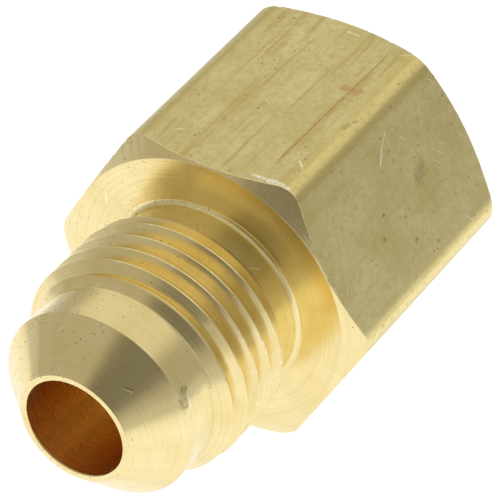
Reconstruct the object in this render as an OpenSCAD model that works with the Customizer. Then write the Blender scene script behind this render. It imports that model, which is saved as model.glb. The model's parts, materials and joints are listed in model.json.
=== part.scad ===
// Flare fitting: a male 45 degree flare end with a straight thread, and a
// hexagonal body with a female taper pipe thread. One piece of brass, lying
// on a hexagon flat. Its axis runs along X, from the nose to the pipe end.
// All sizes are in millimetres.

/* [Overall] */
// Length from the nose rim to the pipe end
overall_l = 33.8; // [30:0.1:45]
// Plain bore through the nose
bore_d = 7.144; // [5:0.001:7.4]

/* [Flare nose] */
// Diameter of the nose rim, where the cone starts
rim_d = 8; // [7.8:0.05:9]
// Diameter of the plain land behind the cone
land_d = 13.7; // [13.2:0.05:14]
// Distance from the nose rim to the end of the plain land
land_end = 5.72; // [4.8:0.01:6]

/* [Flare thread] */
// Major diameter of the straight thread
thread_d = 15.875; // [15.6:0.005:16]
// Pitch, the same on both threads
pitch = 1.4111; // [1.3:0.0001:1.5]
// Distance from the nose rim to the shoulder where the thread ends
thread_end = 12.45; // [11:0.05:13]
// Distance from the nose rim to the first crest at the thread's turn
crest_z = 6.097; // [5.9:0.001:6.3]
// Turn of the thread about the axis
thread_turn = 212.9; // [0:0.1:360]

/* [Neck] */
// Diameter of the plain neck behind the thread
neck_d = 13.7; // [13.2:0.05:14]
// Radius of the fillet where the neck meets the hexagon
neck_fillet = 0.42; // [0.2:0.01:0.8]

/* [Hexagon] */
// Distance across the flats
hex_af = 20.6375; // [20:0.0005:24]
// Distance from the nose rim to the hexagon's front face
hex_start = 15.65; // [15.2:0.05:16.5]
// Radius of the hexagon's long corners
corner_r = 2; // [0.5:0.1:3]
// Diameter of the flat face inside the end chamfers
face_d = 20.4; // [20:0.05:20.5]
// Angle of the end chamfers, from the face
chamfer_a = 30; // [20:1:40]

/* [Pipe socket] */
// Diameter of the drilled hole under the pipe thread
drill_d = 14.68; // [14.3:0.01:15]
// Depth of the drilled hole at its full diameter
drill_depth = 15.5; // [14.5:0.1:16]
// Length of the tapered pipe thread
pipe_thread_l = 12; // [10:0.1:12.5]
// Major diameter of the pipe thread at the mouth
pipe_major_d = 17.06; // [16.8:0.01:17.2]
// Diameter of the countersink at the mouth
mouth_d = 17.8; // [17.4:0.05:18.2]

/* [Hidden] */

$fn = 96;
ring = 36;                 // steps per turn of a swept ridge
corner_steps = 6;          // steps round a hexagon corner
fillet_steps = 5;          // steps round the neck fillet
skim = 0.002;              // gap that keeps a ridge off its wall
thin = 0.1;                // narrowest end of a ridge
film = 0.05;               // least height of a ridge
root_flat = 0.06;          // flat between the pipe thread's ridges
past = 1;                  // how far a cut runs past a face
edge_break = 0.12;         // broken inner edge of the nose rim
drill_half_a = 59;         // half the angle of the drill's point
pipe_taper = 1 / 32;       // change of radius per length on a pipe thread
flank = tan(30);           // half width per height of a 60 degree thread

bore_r = bore_d / 2;
land_r = land_d / 2;
major_r = thread_d / 2;
root_r = major_r - 0.6134 * pitch;
neck_r = neck_d / 2;
flat_r = hex_af / 2;
face_r = face_d / 2;
drill_r = drill_d / 2;
pipe_major_r = pipe_major_d / 2;

cone_end = land_r - rim_d / 2;
root_start = land_end + root_r - land_r;
shoulder_end = thread_end + major_r - root_r;
neck_start = shoulder_end + root_r - neck_r;
drill_end = overall_l - drill_depth;
drill_tip = drill_end - (drill_r - bore_r) / tan(drill_half_a);
mouth_depth = (mouth_d - pipe_major_d) / 2;
chamfer_run = flat_r / cos(30) - face_r;

// The local Z axis is the fitting's axis, from the nose rim to the pipe end.
module on_axis() {
    translate([-overall_l / 2, 0, flat_r]) rotate([0, 90, 0]) children();
}

// Half outline of everything in front of the hexagon, from the nose back.
function nose_outline() = concat(
    [[0, 0], [rim_d / 2, 0], [land_r, cone_end], [land_r, land_end],
     [root_r, root_start], [root_r, shoulder_end], [neck_r, neck_start]],
    [for (i = [0:fillet_steps])
        let (a = 90 * i / fillet_steps)
        [neck_r + neck_fillet * (1 - cos(a)),
         hex_start - neck_fillet * (1 - sin(a))]],
    [[neck_r + neck_fillet, hex_start + past], [0, hex_start + past]]);

// Hexagon with round corners, its flats facing the local X axis.
function hex_outline() = [
    for (side = [0:5], i = [0:corner_steps])
        let (mid = 30 + 60 * side,
             centre = (flat_r - corner_r) / cos(30),
             a = mid - 30 + 60 * i / corner_steps)
        [centre * cos(mid) + corner_r * cos(a),
         centre * sin(mid) + corner_r * sin(a)]];

// Half outline that chamfers both ends of the hexagon.
function chamfer_outline() =
    let (drop = chamfer_run * tan(chamfer_a))
    [[0, hex_start], [face_r, hex_start],
     [face_r + chamfer_run, hex_start + drop],
     [face_r + chamfer_run, overall_l - drop],
     [face_r, overall_l], [0, overall_l]];

// Radius of the pipe thread's outer wall at a height on the axis.
function pipe_wall_r(z) = pipe_major_r - pipe_taper * (overall_l - z);

// Half outline of the bore, the drilled hole and the room for its thread.
function hole_outline() =
    let (thread_z = overall_l - pipe_thread_l,
         thread_r = pipe_wall_r(thread_z),
         mouth_r = mouth_d / 2)
    [[0, -past], [bore_r + edge_break, -past], [bore_r + edge_break, 0],
     [bore_r, edge_break], [bore_r, drill_tip], [drill_r, drill_end],
     [drill_r, thread_z - (thread_r - drill_r)], [thread_r, thread_z],
     [pipe_major_r, overall_l - (mouth_r - pipe_major_r)],
     [mouth_r, overall_l], [mouth_r, overall_l + past],
     [0, overall_l + past]];

module fitting_body() {
    color([0.83, 0.70, 0.36]) on_axis() difference() {
        union() {
            rotate_extrude() polygon(nose_outline());
            intersection() {
                translate([0, 0, hex_start])
                    linear_extrude(overall_l - hex_start)
                        polygon(hex_outline());
                rotate_extrude() polygon(chamfer_outline());
            }
        }
        rotate_extrude() polygon(hole_outline());
    }
}

// Sweeps closed sections, one list of [radius, height, angle] per step.
module swept(sections) {
    n = len(sections[0]);
    last = len(sections) - 1;
    points = [for (s = sections, p = s) [p[0] * cos(p[2]), p[0] * sin(p[2]), p[1]]];
    sides = [for (k = [0:last - 1], j = [0:n - 1])
        let (a = k * n + j, b = k * n + (j + 1) % n)
        [a, b, b + n, a + n]];
    start = [for (j = [0:n - 1]) n - 1 - j];
    end = [for (j = [0:n - 1]) last * n + j];
    polyhedron(points, concat(sides, [start, end]), convexity = 10);
}

// The straight thread stays under the lead chamfer and the end shoulder.
function thread_limit(z) = min(
    major_r, land_r + z - land_end, major_r - (z - thread_end));

// The pipe thread stays outside the mouth's countersink.
function mouth_limit(z) = mouth_d / 2 - (overall_l - z);

// Places across a ridge, from foot to foot, kept between two heights.
function across(z, foot, shares, low, high) =
    let (a = max(z - foot, low), b = min(z + foot, high))
    [for (s = shares) (a + b) / 2 + s * (b - a) / 2];

module flare_thread() {
    base_r = root_r / cos(180 / ring) + skim;
    crest = pitch / 16;
    foot = crest + (major_r - root_r) * flank;
    top = crest / foot;
    shares = [-1, -(1 + top) / 2, -top, top, (1 + top) / 2, 1];
    low = root_start + skim;
    high = shoulder_end - skim;
    first = ceil((low + thin - foot - crest_z) / pitch * ring);
    last = floor((high - thin + foot - crest_z) / pitch * ring);
    sections = [for (k = [first:last])
        let (z = crest_z + pitch * k / ring,
             heights = across(z, foot, shares, low, high))
        [for (j = [0:len(shares) - 1])
            let (h = heights[j],
                 r = major_r - max(0, abs(h - z) - crest) / flank,
                 floor_r = base_r + film * (1 - abs(shares[j])))
            [max(floor_r, min(r, thread_limit(h))), h, thread_turn + 360 * k / ring]]];
    color([0.88, 0.74, 0.38]) on_axis() swept(sections);
}

module pipe_thread() {
    foot = pitch / 2 - root_flat / 2;
    low = overall_l - pipe_thread_l + skim;
    high = overall_l - mouth_depth - skim;
    first = ceil((low + thin - foot) / pitch * ring);
    last = floor((high - thin + foot) / pitch * ring);
    sections = [for (k = [first:last])
        let (z = pitch * k / ring,
             height = min(0.8 * pitch, pipe_wall_r(z) - drill_r - skim),
             top = 1 - height * flank / foot,
             shares = [1, top, -top, -1],
             heights = across(z, foot, shares, low, high))
        [for (j = [0:len(shares) - 1])
            let (h = heights[j],
                 wall = pipe_wall_r(h) - skim - film * (1 - abs(shares[j])),
                 r = pipe_wall_r(h) - min(height, (foot - abs(h - z)) / flank))
            [min(wall, max(r, mouth_limit(h)) / cos(180 / ring)), h, 360 * k / ring]]];
    color([0.80, 0.64, 0.30]) on_axis() swept(sections);
}

fitting_body();
flare_thread();
pipe_thread();
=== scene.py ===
import json
import math

import bpy
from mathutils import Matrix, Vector, noise


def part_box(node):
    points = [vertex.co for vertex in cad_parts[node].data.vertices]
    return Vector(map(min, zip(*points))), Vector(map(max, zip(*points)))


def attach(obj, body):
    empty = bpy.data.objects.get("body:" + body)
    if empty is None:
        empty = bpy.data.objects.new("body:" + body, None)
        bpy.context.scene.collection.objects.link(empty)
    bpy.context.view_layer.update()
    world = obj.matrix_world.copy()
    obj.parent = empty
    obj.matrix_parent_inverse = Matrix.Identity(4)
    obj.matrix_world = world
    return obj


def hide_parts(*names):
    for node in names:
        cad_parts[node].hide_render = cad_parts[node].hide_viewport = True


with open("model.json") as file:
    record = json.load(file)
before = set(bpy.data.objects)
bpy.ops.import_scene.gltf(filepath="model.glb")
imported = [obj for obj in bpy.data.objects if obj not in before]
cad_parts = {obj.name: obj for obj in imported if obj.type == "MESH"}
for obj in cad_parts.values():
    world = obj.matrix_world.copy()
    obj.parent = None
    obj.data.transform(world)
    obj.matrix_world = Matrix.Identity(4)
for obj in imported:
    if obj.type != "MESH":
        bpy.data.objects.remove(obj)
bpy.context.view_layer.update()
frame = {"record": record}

# ---------------------------------------------------------------- sizes
# Lengths are in metres. "along" is the distance from the nose rim to the pipe
# end, and "turn" is the angle about the axis, from +Y towards +Z.
MM = 0.001
MOUNTS = {m["name"]: m for m in frame["record"]["mounts"]}
BODY_LOW, BODY_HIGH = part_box("fitting_body")

LENGTH = BODY_HIGH.x - BODY_LOW.x
FLAT_R = (BODY_HIGH.z - BODY_LOW.z) / 2
AXIS_Z = BODY_LOW.z + FLAT_R
COS_30 = math.cos(math.radians(30))
TAN_30 = math.tan(math.radians(30))
CORNER_R = (FLAT_R / COS_30 - BODY_HIGH.y) / (1 / COS_30 - 1)
HEX_START = MOUNTS["hexagon_front_face"]["pos_m"][0] - BODY_LOW.x
BORE_R = MOUNTS["nose_bore"]["dims"]["r_mm"] * MM
DRILL_R = MOUNTS["pipe_socket"]["dims"]["r_mm"] * MM
MAJOR_R = MOUNTS["flare_thread"]["dims"]["r_mm"] * MM

RIM_R = 4.0 * MM
LAND_R = 6.85 * MM
LAND_END = 5.72 * MM
NECK_R = 6.85 * MM
FACE_R = 10.2 * MM
MOUTH_R = 8.9 * MM
PIPE_MAJOR_R = 8.53 * MM
PIPE_THREAD_L = 12.0 * MM
PIPE_TAPER = 1 / 32
DRILL_DEPTH = 15.5 * MM
DRILL_HALF_ANGLE = math.radians(59)
PITCH = 1.4111 * MM
THREAD_END = 12.45 * MM
CREST_AT = 6.097 * MM
CREST_TURN = math.radians(122.9)

ROOT_R = MAJOR_R - 0.6134 * PITCH
CONE_END = LAND_R - RIM_R
ROOT_START = LAND_END + ROOT_R - LAND_R
SHOULDER_END = THREAD_END + MAJOR_R - ROOT_R
NECK_START = SHOULDER_END + ROOT_R - NECK_R
HEX_LENGTH = LENGTH - HEX_START
HEX_MIDDLE = BODY_HIGH.x - HEX_LENGTH / 2
DRILL_END = LENGTH - DRILL_DEPTH
DRILL_TIP = DRILL_END - (DRILL_R - BORE_R) / math.tan(DRILL_HALF_ANGLE)
PIPE_THREAD_START = LENGTH - PIPE_THREAD_L
MOUTH_DEPTH = MOUTH_R - PIPE_MAJOR_R
NICK_REACH = 0.3 * MM

# ---------------------------------------------------------------- camera
# The lens and the sensor are in millimetres, as Blender's are.
CAMERA_AZIMUTH = math.radians(-58.55)
CAMERA_ELEVATION = math.radians(38.9)
CAMERA_DISTANCE = 266.9 * MM
CAMERA_TARGET = Vector((2.25, -1.16, 11.95)) * MM
CAMERA_LENS = 295.5
CAMERA_SENSOR = 36


def make_camera():
    data = bpy.data.cameras.new("camera")
    data.lens = CAMERA_LENS
    data.sensor_width = CAMERA_SENSOR
    data.clip_start = 0.01
    data.clip_end = 10
    camera = bpy.data.objects.new("camera", data)
    bpy.context.scene.collection.objects.link(camera)
    level = math.cos(CAMERA_ELEVATION)
    back = Vector((math.sin(CAMERA_AZIMUTH) * level,
                   -math.cos(CAMERA_AZIMUTH) * level,
                   math.sin(CAMERA_ELEVATION)))
    camera.location = CAMERA_TARGET + back * CAMERA_DISTANCE
    camera.rotation_euler = (-back).to_track_quat("-Z", "Y").to_euler()
    bpy.context.scene.camera = camera


# ---------------------------------------------------------------- mesh tools
# A corner that bends less than STRAIGHT isn't rounded, a rounding takes at most
# MOST_OF_SIDE of each side, and an edge that bends more than SHARP_ANGLE is sharp.
STRAIGHT = 0.01
MOST_OF_SIDE = 0.45
SHARP_ANGLE = math.radians(32)


def place(radius, along, turn):
    """The point at a radius, a distance along the axis and a turn about it."""
    return (BODY_LOW.x + along, radius * math.cos(turn), AXIS_Z + radius * math.sin(turn))


def rounded(corners, stretches):
    """A closed outline with its corners rounded and its stretches divided.

    corners holds (radius, along, rounding, steps) for each corner, and
    stretches the number of parts of the line that follows each corner.
    """
    count = len(corners)
    arcs = []
    for i, (radius, along, rounding, steps) in enumerate(corners):
        here = Vector((radius, along))
        before = Vector(corners[i - 1][:2]) - here
        after = Vector(corners[(i + 1) % count][:2]) - here
        reach = MOST_OF_SIDE * min(before.length, after.length)
        before.normalize()
        after.normalize()
        bend = math.pi - before.angle(after)
        if steps == 0 or bend < STRAIGHT:
            arcs.append([here] * (steps + 1))
            continue
        tangent = min(rounding * math.tan(bend / 2), reach)
        size = tangent / math.tan(bend / 2)
        middle = here + (before + after).normalized() * size / math.cos(bend / 2)
        first = here + before * tangent - middle
        side = -1 if before.cross(after) > 0 else 1
        arc = []
        for k in range(steps + 1):
            a = side * bend * k / steps
            c, s = math.cos(a), math.sin(a)
            turned_first = Vector((first.x * c - first.y * s, first.x * s + first.y * c))
            arc.append(middle + turned_first)
        arcs.append(arc)
    outline = []
    for i, arc in enumerate(arcs):
        outline += arc
        start, end = arc[-1], arcs[(i + 1) % count][0]
        for k in range(1, stretches[i]):
            share = 0.5 - 0.5 * math.cos(math.pi * k / stretches[i])
            outline.append(start.lerp(end, share))
    return outline


def finish_mesh(name, points, faces, slots, materials):
    mesh = bpy.data.meshes.new(name)
    mesh.from_pydata(points, [], faces)
    for material in materials:
        mesh.materials.append(material)
    mesh.polygons.foreach_set("material_index", slots)
    mesh.polygons.foreach_set("use_smooth", [True] * len(faces))
    mesh.set_sharp_from_angle(angle=SHARP_ANGLE)
    mesh.update()
    mesh.validate()
    piece = bpy.data.objects.new(name, mesh)
    bpy.context.scene.collection.objects.link(piece)
    return piece


def grid_faces(columns, rows, slot_of):
    """Quads of a grid of closed columns that closes on itself both ways."""
    faces, slots = [], []
    for c in range(columns):
        d = (c + 1) % columns
        for r in range(rows):
            q = (r + 1) % rows
            faces.append((c * rows + r, c * rows + q, d * rows + q, d * rows + r))
            slots.append(slot_of(r))
    return faces, slots


# ---------------------------------------------------------------- body
def hex_radius(turn):
    """Distance from the axis to the round-cornered hexagon at a turn."""
    off = math.radians(60)
    from_corner = abs(((turn + off / 2) % off) - off / 2)
    from_flat = off / 2 - from_corner
    if from_flat <= math.atan2((FLAT_R - CORNER_R) * TAN_30, FLAT_R):
        return FLAT_R / math.cos(from_flat)
    centre = (FLAT_R - CORNER_R) / COS_30
    reach = math.sqrt(CORNER_R ** 2 - (centre * math.sin(from_corner)) ** 2)
    return centre * math.cos(from_corner) + reach


def hex_turns():
    """Turns of the body's columns, closer together round the corners."""
    edge = math.radians(30) - math.atan2((FLAT_R - CORNER_R) * TAN_30, FLAT_R)
    corner_steps = 20
    flat_steps = 34
    turns = []
    for side in range(6):
        corner = math.radians(60) * side
        turns += [corner - edge + 2 * edge * k / corner_steps for k in range(corner_steps)]
        flat = math.radians(60) - 2 * edge
        turns += [corner + edge + flat * k / flat_steps for k in range(flat_steps)]
    return turns


def nick(turn, seed):
    """Depth of the small dents along the hexagon's edges."""
    rough = noise.noise(Vector((turn * 13, 0, seed)))
    fine = noise.noise(Vector((turn * 31, 5, seed)))
    return MM * (0.45 * max(0, rough - 0.38) + 0.06 * max(0, fine))


# Material slots of the body.
TURNED, DRAWN, BORE = 0, 1, 2


def body_outline(turn):
    """The body's closed outline at a turn, and the material slot of each part of it.

    A row is a corner's radius and distance along, its rounding in millimetres and
    steps, the parts of the line after it, and the material of what follows.
    """
    side_r = hex_radius(turn)
    chamfer = (side_r - FACE_R) * TAN_30
    thread_r = PIPE_MAJOR_R - PIPE_TAPER * PIPE_THREAD_L
    rows = [
        (BORE_R, 0, 0.10, 5, 2, TURNED),
        (RIM_R, 0, 0.05, 3, 16, TURNED),
        (LAND_R, CONE_END, 0.07, 5, 14, TURNED),
        (LAND_R, LAND_END, 0.30, 5, 3, TURNED),
        (ROOT_R, ROOT_START, 0.02, 2, 8, TURNED),
        (ROOT_R, SHOULDER_END, 0.05, 2, 2, TURNED),
        (NECK_R, NECK_START, 0.10, 3, 8, TURNED),
        (NECK_R, HEX_START, 0.42, 8, 20, TURNED),
        (FACE_R, HEX_START, 0.05, 3, 6, TURNED),
        (side_r - nick(turn, 3), HEX_START + chamfer, 0.07, 4, 4, DRAWN),
        (side_r, HEX_START + chamfer + NICK_REACH, 0, 0, 44, DRAWN),
        (side_r, LENGTH - chamfer - NICK_REACH, 0, 0, 4, DRAWN),
        (side_r - nick(turn, 8), LENGTH - chamfer, 0.10, 4, 6, TURNED),
        (FACE_R, LENGTH, 0.08, 3, 6, TURNED),
        (MOUTH_R, LENGTH, 0.05, 3, 2, TURNED),
        (PIPE_MAJOR_R, LENGTH - MOUTH_DEPTH, 0.03, 2, 12, BORE),
        (thread_r, PIPE_THREAD_START, 0.05, 2, 2, BORE),
        (DRILL_R, PIPE_THREAD_START - (thread_r - DRILL_R), 0.05, 2, 4, BORE),
        (DRILL_R, DRILL_END, 0.10, 3, 8, BORE),
        (BORE_R, DRILL_TIP, 0.05, 3, 30, BORE),
    ]
    outline = rounded([(r, s, o * MM, n) for r, s, o, n, _, _ in rows],
                      [parts for _, _, _, _, parts, _ in rows])
    slots = []
    for _, _, _, steps, parts, slot in rows:
        before = slots[-1] if slots else BORE
        slots += [TURNED if DRAWN in (slot, before) else slot] * steps + [slot] * parts
    return outline, slots


def make_body(materials):
    turns = hex_turns()
    points = []
    for turn in turns:
        outline, slots = body_outline(turn)
        points += [place(p.x, p.y, turn) for p in outline]
    rows = len(slots)
    faces, face_slots = grid_faces(len(turns), rows, lambda r: slots[r])
    piece = finish_mesh("machined_body", points, faces, face_slots, materials)
    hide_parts("fitting_body")
    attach(piece, "root")


# ---------------------------------------------------------------- threads
def sweep(name, sections, material):
    """A closed solid through equal sections, each a list of points."""
    n = len(sections[0])
    points = [p for section in sections for p in section]
    faces = []
    for k in range(len(sections) - 1):
        for j in range(n):
            a, b = k * n + j, k * n + (j + 1) % n
            faces.append((a, a + n, b + n, b))
    faces.append(tuple(range(n)))
    faces.append(tuple(reversed(range(len(points) - n, len(points)))))
    return finish_mesh(name, points, faces, [0] * len(faces), [material])


def make_flare_thread(material):
    crest = 0.05 * MM
    foot = crest + (MAJOR_R - ROOT_R) * TAN_30
    sunk = 0.03 * MM
    steps, flank_parts = 240, 9
    shares = [-1 + 0.9 * k / flank_parts for k in range(flank_parts)]
    shares += [-0.09, -0.045, 0, 0.045, 0.09]
    shares += [0.1 + 0.9 * k / flank_parts for k in range(1, flank_parts + 1)]
    first = math.ceil((ROOT_START - foot - CREST_AT) / PITCH * steps)
    last = math.floor((SHOULDER_END + foot - CREST_AT) / PITCH * steps)
    sections = []
    for k in range(first, last + 1):
        turn = CREST_TURN + math.tau * k / steps
        middle = CREST_AT + PITCH * k / steps
        low = max(middle - foot, ROOT_START - 0.5 * sunk)
        high = min(middle + foot, SHOULDER_END + 0.5 * sunk)
        section = []
        for share in shares:
            along = (low + high) / 2 + share * (high - low) / 2
            drop = max(0, abs(along - middle) - crest) / TAN_30
            limit = min(LAND_R + along - LAND_END, MAJOR_R - (along - THREAD_END)) - 0.001 * MM
            dent = 0.05 * MM * max(0, noise.noise(Vector((turn * 6, along * 900, 3))) - 0.25)
            radius = min(MAJOR_R - drop - dent, limit)
            section.append(place(max(radius, ROOT_R - sunk), along, turn))
        section.append(place(ROOT_R - 2 * sunk, high, turn))
        section.append(place(ROOT_R - 2 * sunk, low, turn))
        sections.append(section)
    piece = sweep("male_thread", sections, material)
    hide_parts("flare_thread")
    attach(piece, "root")


def make_pipe_thread(material):
    sunk = 0.03 * MM
    foot = PITCH / 2 - 0.03 * MM
    steps = 160
    high_end = LENGTH - MOUTH_DEPTH
    first = math.ceil((PIPE_THREAD_START - foot) / PITCH * steps)
    last = math.floor((high_end + foot) / PITCH * steps)
    sections = []
    for k in range(first, last + 1):
        turn = math.tau * k / steps
        middle = PITCH * k / steps
        low = max(middle - foot, PIPE_THREAD_START)
        high = min(middle + foot, high_end)
        if high - low < 0.05 * MM:
            continue
        wall = PIPE_MAJOR_R - PIPE_TAPER * (LENGTH - middle)
        height = min(0.8 * PITCH, wall - DRILL_R)
        top = 1 - height * TAN_30 / foot
        shares = [-1, -(1 + top) / 2, -top, -top / 2, 0, top / 2, top, (1 + top) / 2, 1]
        section = []
        for share in shares:
            along = (low + high) / 2 + share * (high - low) / 2
            depth = min(height, (foot - abs(along - middle)) / TAN_30)
            here = PIPE_MAJOR_R - PIPE_TAPER * (LENGTH - along)
            radius = max(here - depth, MOUTH_R - (LENGTH - along))
            section.append(place(min(radius, here + sunk), along, turn))
        outer = PIPE_MAJOR_R - PIPE_TAPER * (LENGTH - high) + 2 * sunk
        inner = PIPE_MAJOR_R - PIPE_TAPER * (LENGTH - low) + 2 * sunk
        section.append(place(outer, high, turn))
        section.append(place(inner, low, turn))
        sections.append(section[::-1])
    piece = sweep("female_thread", sections, material)
    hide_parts("pipe_thread")
    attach(piece, "root")


# ---------------------------------------------------------------- materials
class Nodes:
    """A short way to build a node tree: each call adds nodes and returns the last one's value."""

    SPOT = 1e-6

    def __init__(self, tree):
        self.tree = tree

    def add(self, kind, inputs=None, **settings):
        """Add a node, link or set its inputs, and return the node itself."""
        node = self.tree.nodes.new(kind)
        for key, value in settings.items():
            setattr(node, key, value)
        for key, value in (inputs or {}).items():
            if isinstance(value, bpy.types.NodeSocket):
                self.tree.links.new(value, node.inputs[key])
            else:
                node.inputs[key].default_value = value
        return node

    def math(self, operation, a, b=0.0, clamp=False):
        return self.add("ShaderNodeMath", {0: a, 1: b}, operation=operation,
                        use_clamp=clamp).outputs[0]

    def vector(self, x, y, z):
        return self.add("ShaderNodeCombineXYZ", {0: x, 1: y, 2: z}).outputs[0]

    def noise(self, vector, scale, detail=3.0, rough=0.5):
        return self.add("ShaderNodeTexNoise",
                        {"Vector": vector, "Scale": scale, "Detail": detail,
                         "Roughness": rough}).outputs["Fac"]

    def ramp(self, value, low, high, to_low=0.0, to_high=1.0):
        return self.add("ShaderNodeMapRange",
                        {"Value": value, "From Min": low, "From Max": high,
                         "To Min": to_low, "To Max": to_high},
                        interpolation_type="SMOOTHSTEP").outputs[0]

    def mix(self, share, a, b):
        node = self.add("ShaderNodeMix", data_type="RGBA")
        for index, value in ((0, share), (6, a), (7, b)):
            if isinstance(value, bpy.types.NodeSocket):
                self.tree.links.new(value, node.inputs[index])
            else:
                node.inputs[index].default_value = value
        return node.outputs[2]

    def seen_as(self, shown, lighting):
        """One value where the stage is looked at, another where it lights the part."""
        looked_at = self.add("ShaderNodeLightPath").outputs["Is Camera Ray"]
        return self.add("ShaderNodeMix", {0: looked_at, 2: lighting, 3: shown}).outputs[0]

    def specks(self, vector, scale, size, share, dimensions="3D"):
        """Small spots, one at most in each cell, in a share of the cells."""
        cells = self.add("ShaderNodeTexVoronoi", {"Vector": vector, "Scale": scale},
                         voronoi_dimensions=dimensions)
        spot = self.ramp(cells.outputs["Distance"], size, size * 0.4)
        chance = self.add("ShaderNodeSeparateColor", {0: cells.outputs["Color"]}).outputs[0]
        return self.math("MULTIPLY", spot, self.math("LESS_THAN", chance, share))

    def hairs(self, across, around, lean, share, finer=1.0):
        """Short thin scratches that lean to one side, on an unrolled surface."""
        c, s = finer * math.cos(lean), finer * math.sin(lean)
        along_it = self.math("ADD", self.math("MULTIPLY", across, 0.5 * c),
                             self.math("MULTIPLY", around, 0.5 * s))
        beside_it = self.math("SUBTRACT", self.math("MULTIPLY", around, 6.5 * c),
                              self.math("MULTIPLY", across, 6.5 * s))
        return self.specks(self.vector(along_it, beside_it, 0.0), 1.0, 0.3, share, "2D")

    def line(self, place_mm, start, end, width):
        """A thin mark between two places in millimetres, or a spot where they are one."""
        span = end - start
        offset = self.add("ShaderNodeVectorMath", {0: place_mm, 1: start},
                          operation="SUBTRACT").outputs[0]
        per_length = span / max(span.length_squared, self.SPOT)
        share = self.add("ShaderNodeVectorMath", {0: offset, 1: per_length},
                         operation="DOT_PRODUCT").outputs["Value"]
        share = self.math("ADD", share, 0.0, clamp=True)
        nearest = self.add("ShaderNodeVectorMath", {0: span, "Scale": share},
                           operation="SCALE").outputs[0]
        away = self.add("ShaderNodeVectorMath", {0: offset, 1: nearest},
                        operation="DISTANCE").outputs["Value"]
        ragged = self.math("SUBTRACT", self.noise(place_mm, 4.0, 3.0, 0.6), 0.5)
        away = self.math("ADD", away, self.math("MULTIPLY", ragged, 2.2 * width))
        return self.ramp(away, 1.1 * width, 0.5 * width)


BRIGHT = (1.0, 0.95, 0.76, 1)
DARK = (0.30, 0.22, 0.09, 1)
DULL = (0.74, 0.61, 0.30, 1)
STAIN = (0.64, 0.40, 0.18, 1)
GREYED = (0.52, 0.44, 0.21, 1)
PIT = (0.52, 0.35, 0.13, 1)
SPECK = (0.42, 0.27, 0.10, 1)
TURNED_PIT = (0.36, 0.25, 0.11, 1)
POCK = (0.50, 0.35, 0.14, 1)
SCUFF = (0.46, 0.38, 0.17, 1)
# Painted highlight: the thin pale line at the very edge of the hexagon's corners, with some bare
# metal.
BARE_AND_GLINT = (0.95, 0.80, 0.36, 1)
# Painted sheen: the yellow band along the hexagon's rounded corners, over their wear.
RUBBED_AND_SHEEN = (0.68, 0.56, 0.20, 1)
STREAK = (0.60, 0.45, 0.17, 1)
MOTTLE = (0.60, 0.50, 0.20, 1)
SKIN_DARK = (0.68, 0.60, 0.27, 1)
SKIN_LIGHT = (0.80, 0.71, 0.38, 1)
BUMP_STRENGTH = 0.5
DRAWN_DEPTH = 0.025 * MM


def from_middle(point):
    """A point as the materials see it: millimetres from the middle of the part."""
    return (Vector(point) - Vector((0, 0, AXIS_Z))) / MM


def on_turned(turn, along):
    """A place on the cone or the land: degrees about the axis, millimetres from the rim."""
    radius = min(RIM_R + along * MM, LAND_R)
    return from_middle(place(radius, along * MM, math.radians(turn)))


def on_flat(turn, along, across):
    """A place on the flat that faces a turn in degrees.

    along goes from 0 at the front to 1 at the pipe end, across from -1 to 1.
    """
    off = math.atan(across * TAN_30)
    return from_middle(place(FLAT_R / math.cos(off), HEX_START + along * HEX_LENGTH,
                             math.radians(turn) + off))


def on_top(along, across):
    return on_flat(90, along, across)


def on_right(along, across):
    return on_flat(150, along, across)


def spot(centre, half_width, colour, lift):
    """A mark that starts and ends at one place."""
    return centre, centre, half_width, colour, lift


# Marks that can be told apart, listed one by one: start and end, half width in
# millimetres, colour and how far they stand out of the surface.
TURNED_MARKS = [
    (on_turned(150, 3.4), on_turned(157, 3.0), 0.40, GREYED, -0.5),
    (on_turned(153, 3.6), on_turned(162, 3.3), 0.07, BRIGHT, 0.5),
    (on_turned(127, 1.1), on_turned(133, 1.3), 0.06, DARK, -1.0),
    (on_turned(128, 1.0), on_turned(134, 1.2), 0.04, BRIGHT, 0.5),
]
DRAWN_MARKS = [
    (on_top(0.05, 0.5), on_top(0.05, 0.7), 0.16, BRIGHT, 0.6),
    (on_top(0.05, 0.7), on_top(0.05, 0.95), 0.28, BRIGHT, 0.6),
    (on_top(0.2, 0.8), on_top(0.15, 0.95), 0.10, BRIGHT, 0.6),
    (on_top(0.45, 0.9), on_top(0.55, 1.0), 0.24, GREYED, -0.4),
    (on_top(0.65, 0.55), on_top(0.65, 0.7), 0.38, STAIN, 0.0),
    (on_top(0.15, 0.6), on_top(0.9, 0.65), 0.09, PIT, -0.5),
    (on_top(0.95, 0.05), on_top(0.95, 0.2), 0.07, BRIGHT, 0.5),
    (on_right(0.6, -0.7), on_right(0.55, -0.6), 0.05, BRIGHT, 0.8),
    (on_right(0.55, -0.6), on_right(0.5, -0.45), 0.07, BRIGHT, 0.8),
    spot(on_right(0.4, 0.0), 0.14, DARK, -1.0),
    spot(on_right(0.35, 0.2), 0.20, PIT, -0.6),
    spot(on_right(0.5, 0.5), 0.22, PIT, -0.6),
    spot(on_right(0.6, 0.7), 0.20, PIT, -0.6),
    spot(on_right(0.5, 0.2), 0.17, PIT, -0.6),
    spot(on_top(0.2, 1.0), 0.14, PIT, -0.6),
    (on_right(0.7, -0.1), on_right(0.65, 0.0), 0.50, GREYED, 0.0),
]


def object_mm(n):
    """The place on an object in millimetres."""
    here = n.add("ShaderNodeTexCoord").outputs["Object"]
    return n.add("ShaderNodeVectorMath", {0: here, 1: (1 / MM,) * 3},
                 operation="MULTIPLY").outputs[0]


def about_axis(n, y, z):
    """Distance from the axis, and the turn about it."""
    square = n.math("ADD", n.math("MULTIPLY", y, y), n.math("MULTIPLY", z, z))
    return n.math("SQRT", square), n.math("ARCTAN2", z, y)


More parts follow.
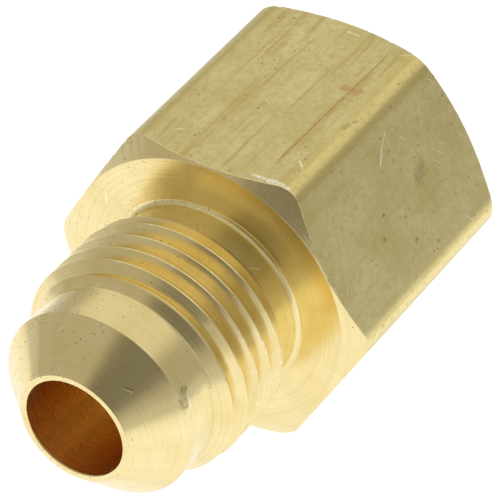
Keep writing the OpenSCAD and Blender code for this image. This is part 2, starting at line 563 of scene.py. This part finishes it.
def start_material(name):
    """A metal shader, its node tree and the place in millimetres from the middle."""
    material = bpy.data.materials.new(name)
    material.use_nodes = True
    tree = material.node_tree
    tree.nodes.clear()
    n = Nodes(tree)
    output = n.add("ShaderNodeOutputMaterial")
    shader = n.add("ShaderNodeBsdfPrincipled", {"Metallic": 1.0})
    tree.links.new(shader.outputs[0], output.inputs[0])
    place_mm = n.add("ShaderNodeVectorMath", {0: object_mm(n), 1: (0, 0, AXIS_Z / MM)},
                     operation="SUBTRACT").outputs[0]
    split = n.add("ShaderNodeSeparateXYZ", {0: place_mm})
    return material, n, shader, place_mm, split.outputs[:3]


def lay_marks(n, place_mm, marks, base, height):
    """Draw the marks over a base colour and a height, and return both."""
    broken = n.ramp(n.noise(place_mm, 3.5, 3.0, 0.6), 0.38, 0.58, 0.45, 1.0)
    for start, end, width, colour, lift in marks:
        mask = n.math("MULTIPLY", n.line(place_mm, start, end, width), broken)
        base = n.mix(mask, base, colour)
        height = n.math("ADD", height, n.math("MULTIPLY", mask, lift))
    return base, height


def finish_material(n, shader, base, rough, height, depth):
    """Link the colour, the roughness and the bump of a material."""
    n.tree.links.new(base, shader.inputs["Base Color"])
    n.tree.links.new(rough, shader.inputs["Roughness"])
    bump = n.add("ShaderNodeBump", {"Height": height, "Strength": BUMP_STRENGTH,
                                    "Distance": depth})
    n.tree.links.new(bump.outputs[0], shader.inputs["Normal"])


def turned_brass(name, colour, deep_colour, roughness, ring_depth, specked, marks, crest_r=0):
    """Brass cut on a lathe: fine rings about the axis, specks and scratches.

    A thread gives its crest radius in millimetres, and gets bright nicks there.
    """
    material, n, shader, place_mm, (x, y, z) = start_material(name)
    radius, angle = about_axis(n, y, z)
    ringed = n.vector(radius, x, n.math("MULTIPLY", angle, 0.12))
    fine = n.noise(ringed, 9.0, 4.0, 0.65)
    coarse = n.noise(ringed, 1.6, 2.0)
    # Bands by turn about the axis: a painted reflection, standing in for the fan-like reflections
    # of the turned faces.
    painted_fan_reflection = n.noise(n.vector(n.math("MULTIPLY", angle, 3.0), 0.0, 0.0), 1.0, 3.0, 0.6)
    cloud = n.noise(place_mm, 0.35, 4.0)
    far_side = n.math("ADD", y, n.math("MULTIPLY", cloud, 8.0))
    crowd = n.ramp(far_side, 1.0, 8.0, 0.1 * specked, specked)
    pits = n.specks(place_mm, 4.5, 0.30, crowd)
    scratches = n.hairs(n.math("ADD", x, radius), n.math("MULTIPLY", angle, 6.0), 0.7,
                        0.02 * specked)
    base = n.mix(n.ramp(cloud, 0.35, 0.65), colour, deep_colour)
    base = n.mix(n.ramp(coarse, 0.35, 0.7, 0.0, 0.35), base, deep_colour)
    base = n.mix(n.ramp(fine, 0.45, 0.62, 0.0, 0.3), base, DULL)
    # Darker painted reflection bands by turn about the axis.
    base = n.mix(n.ramp(painted_fan_reflection, 0.45, 0.60, 0.0, 0.2), base, DULL)
    if crest_r:
        nicks = n.ramp(n.noise(place_mm, 2.0, 3.0, 0.6), 0.58, 0.66, 0.0, 0.5)
        nicks = n.math("MULTIPLY", nicks, n.ramp(radius, crest_r - 0.14, crest_r - 0.05))
        base = n.mix(nicks, base, BRIGHT)
    base = n.mix(scratches, base, BRIGHT)
    base = n.mix(pits, base, TURNED_PIT)
    shader.inputs["Anisotropic"].default_value = 0.5
    shader.inputs["Anisotropic Rotation"].default_value = 0.25
    tangent = n.vector(0.0, n.math("MULTIPLY", z, -1.0), y)
    tangent = n.add("ShaderNodeVectorMath", {0: tangent}, operation="NORMALIZE").outputs[0]
    n.tree.links.new(tangent, shader.inputs["Tangent"])
    rough = n.ramp(fine, 0.3, 0.7, roughness - 0.03, roughness + 0.05)
    rough = n.math("ADD", rough, n.math("MULTIPLY", pits, 0.3), clamp=True)
    height = n.math("ADD", fine, n.math("MULTIPLY", coarse, 0.6))
    height = n.math("SUBTRACT", height, pits)
    base, height = lay_marks(n, place_mm, marks, base, height)
    finish_material(n, shader, base, rough, height, ring_depth)
    return material


def drawn_brass():
    """Brass bar as drawn: a dull green-yellow skin with streaks, pits and nicks."""
    material, n, shader, place_mm, (x, y, z) = start_material("drawn_brass")
    edge_r = BODY_HIGH.y / MM
    along = n.vector(n.math("MULTIPLY", x, 0.06), y, z)
    lines = n.noise(along, 5.5, 4.0, 0.6)
    streaks = n.noise(along, 1.9, 4.0, 0.6)
    cloud = n.noise(place_mm, 0.28, 5.0, 0.6)
    mottle = n.noise(place_mm, 2.2, 5.0, 0.65)
    specks = n.specks(place_mm, 2.6, 0.27, 0.07)
    pocks = n.math("MULTIPLY", n.specks(place_mm, 1.1, 0.24, 0.09), 0.6)
    radius, angle = about_axis(n, y, z)
    around = n.math("MULTIPLY", angle, edge_r)
    scratches = n.math("MAXIMUM", n.hairs(x, around, 0.9, 0.006), n.hairs(x, around, 2.1, 0.005))
    scratches = n.math("MULTIPLY", scratches, 0.7)
    scuffs = n.math("MAXIMUM", n.hairs(x, around, 0.35, 0.035, 1.8),
                    n.hairs(x, around, 2.6, 0.035, 1.8))
    # Worn, smoother metal round the corners, coloured as a painted yellow sheen band.
    rubbed_and_sheen = n.ramp(radius, edge_r - 0.24, edge_r - 0.10)
    # A thin painted highlight line, partly bare metal, at the very edge of the corners.
    bare_and_glint = n.ramp(radius, edge_r - 0.05, edge_r - 0.005)
    bare_and_glint = n.math("MULTIPLY", bare_and_glint, n.ramp(mottle, 0.35, 0.55, 0.1, 0.7))
    upward = n.ramp(z, 9.0, 10.2, 0.3, 1.0)
    cut_back = n.math("MULTIPLY", n.math("SUBTRACT", radius, FACE_R / MM), TAN_30)
    off_middle = n.math("ABSOLUTE", n.math("SUBTRACT", x, HEX_MIDDLE / MM))
    from_edge = n.math("SUBTRACT", HEX_LENGTH / MM / 2, n.math("ADD", off_middle, cut_back))
    chips = n.ramp(n.noise(place_mm, 2.2, 3.0, 0.6), 0.48, 0.60)
    chips = n.math("MULTIPLY", chips, n.ramp(from_edge, 0.20, 0.04))
    base = n.mix(n.ramp(cloud, 0.3, 0.7), SKIN_DARK, SKIN_LIGHT)
    base = n.mix(n.ramp(mottle, 0.40, 0.66, 0.0, 0.45), base, MOTTLE)
    streaked = n.math("MULTIPLY", upward, n.ramp(streaks, 0.50, 0.66, 0.0, 0.7))
    base = n.mix(streaked, base, STREAK)
    # Painted sheen along the rounded corners.
    base = n.mix(n.math("MULTIPLY", rubbed_and_sheen, 0.45), base, RUBBED_AND_SHEEN)
    # Painted highlight along the edge of the rounded corners.
    base = n.mix(bare_and_glint, base, BARE_AND_GLINT)
    base = n.mix(pocks, base, POCK)
    base = n.mix(n.math("MULTIPLY", scuffs, 0.7), base, SCUFF)
    base = n.mix(n.math("MULTIPLY", chips, 0.6), base, BRIGHT)
    base = n.mix(scratches, base, BRIGHT)
    base = n.mix(specks, base, SPECK)
    rough = n.ramp(mottle, 0.3, 0.7, 0.36, 0.44)
    rough = n.math("SUBTRACT", rough, n.math("MULTIPLY", rubbed_and_sheen, 0.08))
    height = n.math("ADD", n.math("MULTIPLY", lines, 0.6), n.math("MULTIPLY", mottle, 0.9))
    height = n.math("SUBTRACT", height, specks)
    height = n.math("ADD", height, n.math("MULTIPLY", chips, 0.8))
    base, height = lay_marks(n, place_mm, DRAWN_MARKS, base, height)
    finish_material(n, shader, base, rough, height, DRAWN_DEPTH)
    return material


# ---------------------------------------------------------------- studio
FLOOR_LIGHT = 0.94
FLOOR_LIGHT_FAR = 0.48
FLOOR_SIZE = 4.0
FLOOR_COLOUR = (0.25, 0.25, 0.25, 1)


def make_floor():
    """A plain pale floor, which lights the part less from further off."""
    mesh = bpy.data.meshes.new("floor")
    corners = [(-FLOOR_SIZE, -FLOOR_SIZE), (FLOOR_SIZE, -FLOOR_SIZE),
               (FLOOR_SIZE, FLOOR_SIZE), (-FLOOR_SIZE, FLOOR_SIZE)]
    mesh.from_pydata([(a, b, BODY_LOW.z) for a, b in corners], [], [(0, 1, 2, 3)])
    floor = bpy.data.objects.new("floor", mesh)
    bpy.context.scene.collection.objects.link(floor)
    material = bpy.data.materials.new("pale_floor")
    material.use_nodes = True
    shader = material.node_tree.nodes["Principled BSDF"]
    shader.inputs["Base Color"].default_value = FLOOR_COLOUR
    shader.inputs["Roughness"].default_value = 0.9
    shader.inputs["Specular IOR Level"].default_value = 0.0
    shader.inputs["Emission Color"].default_value = (1, 1, 1, 1)
    n = Nodes(material.node_tree)
    distance = n.add("ShaderNodeVectorMath", {0: object_mm(n)},
                     operation="LENGTH").outputs["Value"]
    strength = n.seen_as(FLOOR_LIGHT, n.ramp(distance, 45, 90, FLOOR_LIGHT, FLOOR_LIGHT_FAR))
    n.tree.links.new(strength, shader.inputs["Emission Strength"])
    mesh.materials.append(material)


def make_world():
    """A pale room with a wide soft light behind and above, dark behind the camera."""
    world = bpy.data.worlds.new("studio")
    bpy.context.scene.world = world
    world.use_nodes = True
    tree = world.node_tree
    tree.nodes.clear()
    n = Nodes(tree)
    direction = n.add("ShaderNodeTexCoord").outputs["Generated"]

    def patch(towards, wide, narrow):
        """1 within an angle of a direction, falling to 0 at a wider angle."""
        facing = n.add("ShaderNodeVectorMath",
                       {0: direction, 1: Vector(towards).normalized()},
                       operation="DOT_PRODUCT").outputs["Value"]
        return n.ramp(facing, math.cos(math.radians(wide)), math.cos(math.radians(narrow)))

    light = patch((0.55, 0.12, 0.82), 55, 24)
    strength = n.ramp(light, 0, 1, 0.50, 0.80)
    side = n.math("MULTIPLY", patch((0.62, -0.75, 0.25), 45, 12), 0.04)
    strength = n.math("SUBTRACT", strength, side)
    dark = n.math("MULTIPLY", patch((-0.87, -0.27, 0.41), 33, 17), 0.60)
    strength = n.math("MULTIPLY", strength, n.math("SUBTRACT", 1.0, dark))
    colour = n.mix(n.seen_as(1.0, 0.0), (1, 0.96, 0.85, 1), (1, 1, 1, 1))
    background = n.add("ShaderNodeBackground", {0: colour, 1: n.seen_as(1.0, strength)})
    output = n.add("ShaderNodeOutputWorld")
    tree.links.new(background.outputs[0], output.inputs[0])


def make_studio():
    make_floor()
    make_world()
    scene = bpy.context.scene
    scene.view_settings.view_transform = "Standard"
    scene.view_settings.look = "None"
    scene.cycles.glossy_bounces = 12


# ---------------------------------------------------------------- the scene
make_camera()
turned = turned_brass("turned_brass", (0.94, 0.81, 0.45, 1), (0.90, 0.75, 0.37, 1),
                      0.17, 0.016 * MM, 0.25, TURNED_MARKS)
# The bore is a deeper orange than the outside: painted shade, standing in for the darker, redder
# look that shade and inner reflections give it.
bore = turned_brass("bore_brass_painted_shade", (0.94, 0.71, 0.31, 1), (0.92, 0.65, 0.24, 1),
                    0.26, 0.002 * MM, 0.02, [])
thread = turned_brass("thread_brass", (0.93, 0.79, 0.43, 1), (0.89, 0.73, 0.35, 1),
                      0.18, 0.010 * MM, 0.06, [], MAJOR_R / MM)
make_body([turned, drawn_brass(), bore])
make_flare_thread(thread)
make_pipe_thread(bore)
make_studio()
